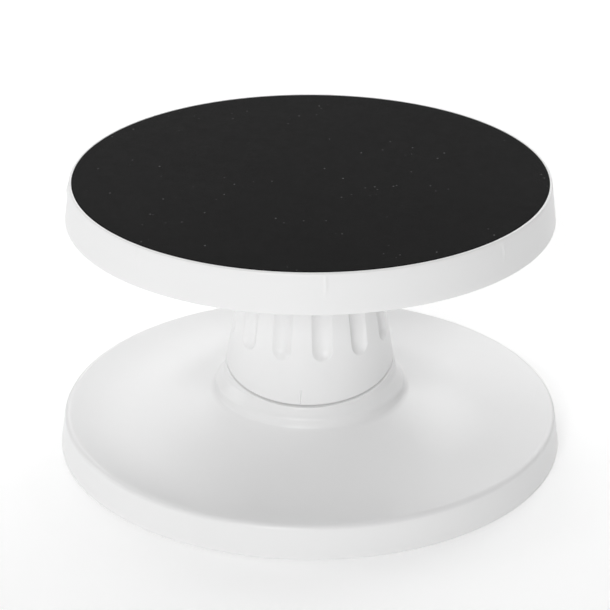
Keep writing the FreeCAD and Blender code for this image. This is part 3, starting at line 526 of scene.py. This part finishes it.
# The mat's top is flat and rolls down to its rim along a quarter of an ellipse.
def matShell():
    top, floor = plate["top"], plate["floor"]
    swing = np.linspace(0, math.pi / 2, 12)
    edge = np.stack([mat["radius"] - mat["edgeRun"] * (1 - np.cos(swing)),
                     top - mat["edgeFall"] * (1 - np.sin(swing))], -1)
    across = np.linspace(mat["radius"] - mat["edgeRun"], poleRadius, 50)[1:]
    flat = np.stack([across, np.full(len(across), top)], -1)
    below = [[poleRadius, floor], [mat["radius"] - mat["bottomEdge"], floor],
             [mat["radius"], floor + mat["bottomEdge"]]]
    return shell(sweep(np.concatenate([below, edge, flat]), angleSteps(mat["columns"])),
                 poles=np.array([[0, 0, floor], [0, 0, top]]))


def grey(value):
    return (value, value, value, 1)


def newGroup(name, inputs, outputs):
    group = bpy.data.node_groups.new(name, "ShaderNodeTree")
    for label, kind, value in inputs:
        socket = group.interface.new_socket(label, in_out="INPUT", socket_type=kind)
        socket.default_value = value
    for label, kind in outputs:
        group.interface.new_socket(label, in_out="OUTPUT", socket_type=kind)
    return group, group.nodes.new("NodeGroupInput"), group.nodes.new("NodeGroupOutput")


def addNode(tree, kind, settings=None, **values):
    node = tree.nodes.new(kind)
    for key, value in (settings or {}).items():
        setattr(node, key, value)
    for key, value in values.items():
        node.inputs[key.replace("_", " ")].default_value = value
    return node


def mathNode(tree, operation, first, second, clamp=False):
    node = tree.nodes.new("ShaderNodeMath")
    node.operation = operation
    node.use_clamp = clamp
    for socket, value in zip(node.inputs, (first, second)):
        if isinstance(value, (int, float)):
            socket.default_value = value
        else:
            tree.links.new(value, socket)
    return node.outputs[0]


# A value's distance from a middle, times a gain.
def spreadNode(tree, value, middle, gain, clamp=False):
    return mathNode(tree, "MULTIPLY", mathNode(tree, "SUBTRACT", value, middle), gain, clamp)


# A colour made lighter or darker by a value.
def toneNode(tree, colour, value):
    tone = addNode(tree, "ShaderNodeHueSaturation")
    tree.links.new(value, tone.inputs["Value"])
    tree.links.new(colour, tone.inputs["Color"])
    return tone.outputs["Color"]


surfaceOutputs = [
    ("Colour", "NodeSocketColor"), ("Roughness", "NodeSocketFloat"), ("Height", "NodeSocketFloat"),
]

mouldedLook = {"cloudScale": 18.0, "grainShare": 0.12}


# Moulded plastic: slow waves and a fine satin grain in the height, and a little cloud in colour and gloss.
def mouldedGroup():
    group, given, result = newGroup(
        "mouldedSurface",
        [("Grain Scale", "NodeSocketFloat", 2600.0), ("Wave Scale", "NodeSocketFloat", 45.0),
         ("Colour", "NodeSocketColor", grey(0.8)), ("Shade", "NodeSocketFloat", 0.03),
         ("Roughness", "NodeSocketFloat", 0.4), ("Roughness Spread", "NodeSocketFloat", 0.06)],
        surfaceOutputs)
    link = group.links.new
    place = addNode(group, "ShaderNodeTexCoord")
    grain = addNode(group, "ShaderNodeTexNoise", Detail=2.0, Roughness=0.6)
    wave = addNode(group, "ShaderNodeTexNoise", Detail=3.0, Roughness=0.5)
    cloud = addNode(group, "ShaderNodeTexNoise", Scale=mouldedLook["cloudScale"], Detail=4.0, Roughness=0.55)
    for texture in (grain, wave, cloud):
        link(place.outputs["Object"], texture.inputs["Vector"])
    link(given.outputs["Grain Scale"], grain.inputs["Scale"])
    link(given.outputs["Wave Scale"], wave.inputs["Scale"])
    shade = spreadNode(group, cloud.outputs["Fac"], 0.5, given.outputs["Shade"])
    spread = spreadNode(group, cloud.outputs["Fac"], 0.5, given.outputs["Roughness Spread"])
    fine = mathNode(group, "MULTIPLY", grain.outputs["Fac"], mouldedLook["grainShare"])
    tint = mathNode(group, "ADD", shade, 1.0)
    link(toneNode(group, given.outputs["Colour"], tint), result.inputs["Colour"])
    link(mathNode(group, "ADD", given.outputs["Roughness"], spread), result.inputs["Roughness"])
    link(mathNode(group, "ADD", fine, wave.outputs["Fac"]), result.inputs["Height"])
    return group


rubberLook = {
    "mottleScale": 260.0, "mottleGain": 2.4, "patchScale": 22.0, "patchGain": 1.0,
    "crowdStart": 0.45, "crowdGain": 9.0, "spotSize": 0.3, "edgeSharpness": 1600.0, "paintedShadeTone": 0.15,
    "roughness": 0.45, "roughnessGain": 0.25,
}


# Rubber sheet: pits in the height, a mottled tone, rare bright flecks of lint that crowd in patches, and
# painted shade: a darker ring beyond a given distance from the middle, for the shade in the gap at its rim.
def rubberGroup():
    look = rubberLook
    group, given, result = newGroup(
        "rubberSurface",
        [("Grain Scale", "NodeSocketFloat", 1400.0), ("Fleck Scale", "NodeSocketFloat", 750.0),
         ("Fleck Share", "NodeSocketFloat", 0.02), ("Painted Shade Radius", "NodeSocketFloat", 1.0),
         ("Colour", "NodeSocketColor", grey(0.01)), ("Fleck Colour", "NodeSocketColor", grey(0.3))],
        surfaceOutputs)
    link = group.links.new
    place = addNode(group, "ShaderNodeTexCoord")
    grain = addNode(group, "ShaderNodeTexNoise", Detail=3.0, Roughness=0.7)
    mottle = addNode(group, "ShaderNodeTexNoise", Scale=look["mottleScale"], Detail=5.0, Roughness=0.75)
    patch = addNode(group, "ShaderNodeTexNoise", Scale=look["patchScale"], Detail=3.0, Roughness=0.6)
    cell = addNode(group, "ShaderNodeTexVoronoi", Randomness=1.0)
    for texture in (grain, mottle, patch, cell):
        link(place.outputs["Object"], texture.inputs["Vector"])
    link(given.outputs["Grain Scale"], grain.inputs["Scale"])
    link(given.outputs["Fleck Scale"], cell.inputs["Scale"])

    # A cell of the fleck pattern is lit if its random red is under the share, near the cell's middle.
    chance = addNode(group, "ShaderNodeSeparateColor")
    link(cell.outputs["Color"], chance.inputs["Color"])
    crowd = spreadNode(group, patch.outputs["Fac"], look["crowdStart"], look["crowdGain"], clamp=True)
    share = mathNode(group, "MULTIPLY", given.outputs["Fleck Share"], crowd)
    rare = mathNode(group, "LESS_THAN", chance.outputs["Red"], share)
    spot = mathNode(group, "LESS_THAN", cell.outputs["Distance"], look["spotSize"])
    faint = mathNode(group, "MULTIPLY", chance.outputs["Green"], mathNode(group, "MULTIPLY", rare, spot))

    # Distance from the axis, without the height, tells where the painted shade at the mat's rim begins.
    flat = addNode(group, "ShaderNodeVectorMath", {"operation": "MULTIPLY"})
    flat.inputs[1].default_value = (1, 1, 0)
    link(place.outputs["Object"], flat.inputs[0])
    reach = addNode(group, "ShaderNodeVectorMath", {"operation": "LENGTH"})
    link(flat.outputs["Vector"], reach.inputs[0])
    inside = mathNode(group, "SUBTRACT", given.outputs["Painted Shade Radius"], reach.outputs["Value"])
    # Painted shade: beyond the radius the colour is darkened, for the shade in the gap beside the plate's
    # rim.
    paintedEdgeShade = mathNode(group, "MULTIPLY", inside, look["edgeSharpness"], clamp=True)
    paintedEdgeShade = mathNode(group, "ADD", mathNode(group, "MULTIPLY", paintedEdgeShade, 1 - look["paintedShadeTone"]), look["paintedShadeTone"])

    lift = spreadNode(group, mottle.outputs["Fac"], 0.5, look["mottleGain"])
    slow = spreadNode(group, patch.outputs["Fac"], 0.5, look["patchGain"])
    both = mathNode(group, "ADD", mathNode(group, "ADD", lift, slow), 1.0)
    mix = addNode(group, "ShaderNodeMix", {"data_type": "RGBA"})
    mixFirst, mixSecond = [socket for socket in mix.inputs if socket.type == "RGBA"]
    mixed = [socket for socket in mix.outputs if socket.type == "RGBA"][0]
    link(faint, mix.inputs["Factor"])
    link(toneNode(group, given.outputs["Colour"], mathNode(group, "MULTIPLY", both, paintedEdgeShade)), mixFirst)
    link(given.outputs["Fleck Colour"], mixSecond)
    link(mixed, result.inputs["Colour"])
    rough = mathNode(group, "MULTIPLY", mottle.outputs["Fac"], look["roughnessGain"])
    link(mathNode(group, "ADD", rough, look["roughness"]), result.inputs["Roughness"])
    link(grain.outputs["Fac"], result.inputs["Height"])
    return group


metalLook = {"stainScale": 160.0, "stainTone": 0.35, "ringGloss": 0.12, "stainGloss": 0.25}


# Turned or ground metal: rings about the axis in the gloss, and a little staining.
def turnedMetalGroup():
    look = metalLook
    group, given, result = newGroup(
        "turnedMetal",
        [("Colour", "NodeSocketColor", grey(0.5)), ("Roughness", "NodeSocketFloat", 0.3),
         ("Line Scale", "NodeSocketFloat", 900.0)], surfaceOutputs)
    link = group.links.new
    place = addNode(group, "ShaderNodeTexCoord")
    ring = addNode(group, "ShaderNodeTexWave", {"wave_type": "RINGS", "rings_direction": "Z"},
                   Distortion=2.0, Detail=3.0)
    stain = addNode(group, "ShaderNodeTexNoise", Scale=look["stainScale"], Detail=4.0, Roughness=0.6)
    link(place.outputs["Object"], ring.inputs["Vector"])
    link(place.outputs["Object"], stain.inputs["Vector"])
    link(given.outputs["Line Scale"], ring.inputs["Scale"])
    tint = mathNode(group, "ADD", spreadNode(group, stain.outputs["Fac"], 0.5, look["stainTone"]), 1.0)
    link(toneNode(group, given.outputs["Colour"], tint), result.inputs["Colour"])
    rough = mathNode(group, "ADD", spreadNode(group, ring.outputs["Fac"], 0.5, look["ringGloss"]),
                     spreadNode(group, stain.outputs["Fac"], 0.5, look["stainGloss"]))
    link(mathNode(group, "ADD", given.outputs["Roughness"], rough, clamp=True), result.inputs["Roughness"])
    link(ring.outputs["Fac"], result.inputs["Height"])
    return group


# A material is one surface group feeding the shader, with a bump of the given strength and distance.
def newMaterial(name, group, values, bump, surface):
    material = bpy.data.materials.new(name)
    material.use_nodes = True
    tree = material.node_tree
    shader = tree.nodes["Principled BSDF"]
    effect = tree.nodes.new("ShaderNodeGroup")
    effect.node_tree = group
    for key, value in values.items():
        effect.inputs[key].default_value = value
    relief = addNode(tree, "ShaderNodeBump", Strength=bump[0], Distance=bump[1])
    tree.links.new(effect.outputs["Colour"], shader.inputs["Base Color"])
    tree.links.new(effect.outputs["Roughness"], shader.inputs["Roughness"])
    tree.links.new(effect.outputs["Height"], relief.inputs["Height"])
    tree.links.new(relief.outputs["Normal"], shader.inputs["Normal"])
    for key, value in surface.items():
        shader.inputs[key].default_value = value
    return material


moulded = mouldedGroup()
rubber = rubberGroup()
turnedMetal = turnedMetalGroup()
plastic = {"IOR": 1.49}
dense = {"IOR": 1.5}
metal = {"Metallic": 1.0}

# Each finish: surface group, its values, bump strength and distance in metres, and the shader's constants.
finishes = {
    "satinWhiteShell": (
        moulded, {"Colour": grey(0.87), "Shade": 0.02, "Roughness": 0.36, "Roughness Spread": 0.07},
        (0.10, 0.0003), plastic),
    "innerPlastic": (
        moulded, {"Colour": grey(0.66), "Shade": 0.05, "Roughness": 0.5}, (0.2, 0.0003), plastic),
    "bushPlastic": (
        moulded, {"Colour": (0.62, 0.60, 0.53, 1), "Shade": 0.06, "Roughness": 0.33}, (0.15, 0.0003), dense),
    "cagePlastic": (
        moulded, {"Colour": (0.30, 0.33, 0.38, 1), "Shade": 0.06, "Roughness": 0.45}, (0.2, 0.0003), dense),
    "matRubber": (
        rubber,
        # Painted shade: the mat's colour is darker beyond this radius, for the shade in the gap at its rim.
        {"Colour": grey(0.0036), "Fleck Colour": grey(0.13), "Painted Shade Radius": (mat["radius"] - 0.5) * mm},
        (0.5, 0.0002), {"IOR": 1.45, "Specular IOR Level": 0.031}),
    "footRubber": (rubber, {"Colour": grey(0.02), "Fleck Share": 0.0}, (0.4, 0.0002), dense),
    "zincSteel": (turnedMetal, {"Colour": (0.60, 0.61, 0.63, 1), "Roughness": 0.34}, (0.15, 0.00005), metal),
    "groundSteel": (turnedMetal, {"Colour": (0.56, 0.57, 0.58, 1), "Roughness": 0.24}, (0.1, 0.00004), metal),
    "ballSteel": (turnedMetal, {"Colour": (0.68, 0.69, 0.70, 1), "Roughness": 0.1}, (0.0, 0.00001), metal),
    "springSteel": (turnedMetal, {"Colour": (0.22, 0.22, 0.235, 1), "Roughness": 0.4}, (0.2, 0.00005), metal),
}
materials = {name: newMaterial(name, *finish) for name, finish in finishes.items()}
print("materials made")


white, black = materials["satinWhiteShell"], materials["matRubber"]
baseBody = makePiece("baseBody", [baseShell(), baseRibs(), footPosts()], white, "base", "base_shell")
neckBody = makePiece("neckBody", [neckShell(), *screwBosses()], white, "neck", "neck_shell")
plateBody = makePiece("plateBody", [plateShell(), plateRibs()], white, "plate", "turntable_plate")
topMat = makePiece("topMat", [matShell()], black, "plate", "non_slip_mat")

nodeFinish = {
    "footRubber": ["rubber_feet"],
    "bushPlastic": ["friction_washer", "swivel_bush", "hub_bush"],
    "zincSteel": ["swivel_bolt", "swivel_washer", "lock_nut", "stop_pin", "swivel_screws", "spindle",
                  "spindle_washer", "spindle_nut"],
    "springSteel": ["disc_springs"],
    "innerPlastic": ["swivel_disc"],
    "groundSteel": ["lower_race", "upper_race"],
    "cagePlastic": ["ball_cage"],
    "ballSteel": ["bearing_balls"],
    "satinWhiteShell": ["base_shell", "neck_shell", "turntable_plate"],
    "matRubber": ["non_slip_mat"],
}
for finish, nodes in nodeFinish.items():
    for node in nodes:
        mesh = frame["nodes"][node].data
        mesh.materials.clear()
        mesh.materials.append(materials[finish])
print("pieces made")


studio = {
    "floor": 0.95, "floorGlow": 0.21, "floorRoughness": 0.8, "floorReach": 6.0, "sky": 0.32,
    "lamps": {
        "top": {"place": (0.0, 0.25, 1.6), "power": 3.0, "size": 1.0},
        "backLeft": {"place": (-0.75, 1.25, 0.85), "power": 5.4, "size": 1.0},
        "backRight": {"place": (0.75, 1.35, 0.85), "power": 7.2, "size": 1.0},
        "back": {"place": (0.0, 1.5, 0.8), "power": 3.2, "size": 1.0},
        "front": {"place": (-0.3, -2.0, 0.85), "power": 17.0, "size": 0.7},
        "left": {"place": (-1.9, 0.3, 0.7), "power": 4.9, "size": 0.7},
    },
    "lampAim": (0, 0, 0.06),
    "cameraPlace": (0.0944, -0.8977, 0.4867), "cameraLook": (-0.0971, 0.9008, -0.4232),
    "cameraRoll": math.radians(0.1), "lens": 129.5, "sensor": 36.0, "nearest": 0.01,
}


def floorPlane():
    mesh = bpy.data.meshes.new("floor")
    reach = studio["floorReach"]
    corners = [(-reach, -reach, 0), (reach, -reach, 0), (reach, reach, 0), (-reach, reach, 0)]
    mesh.from_pydata(corners, [], [(0, 1, 2, 3)])
    floor = bpy.data.objects.new("floor", mesh)
    bpy.context.scene.collection.objects.link(floor)
    glow = {"Emission Color": grey(1.0), "Emission Strength": studio["floorGlow"]}
    values = {"Colour": grey(studio["floor"]), "Roughness": studio["floorRoughness"]}
    mesh.materials.append(newMaterial("paperFloor", moulded, values, (0.05, 0.0002), glow))


def areaLight(name, place, power, size):
    light = bpy.data.lights.new(name, "AREA")
    light.energy = power
    light.size = size
    lamp = bpy.data.objects.new(name, light)
    lamp.location = place
    lamp.rotation_euler = (Vector(studio["lampAim"]) - Vector(place)).to_track_quat("-Z", "Y").to_euler()
    bpy.context.scene.collection.objects.link(lamp)


def sky():
    world = bpy.data.worlds.new("studio")
    world.use_nodes = True
    background = world.node_tree.nodes["Background"]
    background.inputs["Color"].default_value = grey(1.0)
    background.inputs["Strength"].default_value = studio["sky"]
    bpy.context.scene.world = world


def camera():
    look = Vector(studio["cameraLook"]).normalized()
    right = look.cross(Vector((0, 0, 1))).normalized()
    up = right.cross(look)
    turn = Matrix((right, up, -look)).transposed().to_4x4()
    roll = Matrix.Rotation(studio["cameraRoll"], 4, "Z")
    data = bpy.data.cameras.new("camera")
    data.lens = studio["lens"]
    data.sensor_width = studio["sensor"]
    data.clip_start = studio["nearest"]
    seen = bpy.data.objects.new("camera", data)
    seen.matrix_world = Matrix.Translation(studio["cameraPlace"]) @ turn @ roll
    bpy.context.scene.collection.objects.link(seen)
    bpy.context.scene.camera = seen


floorPlane()
sky()
for name, lamp in studio["lamps"].items():
    areaLight(name, lamp["place"], lamp["power"], lamp["size"])
camera()
bpy.context.scene.view_settings.view_transform = "Standard"
print("studio set")
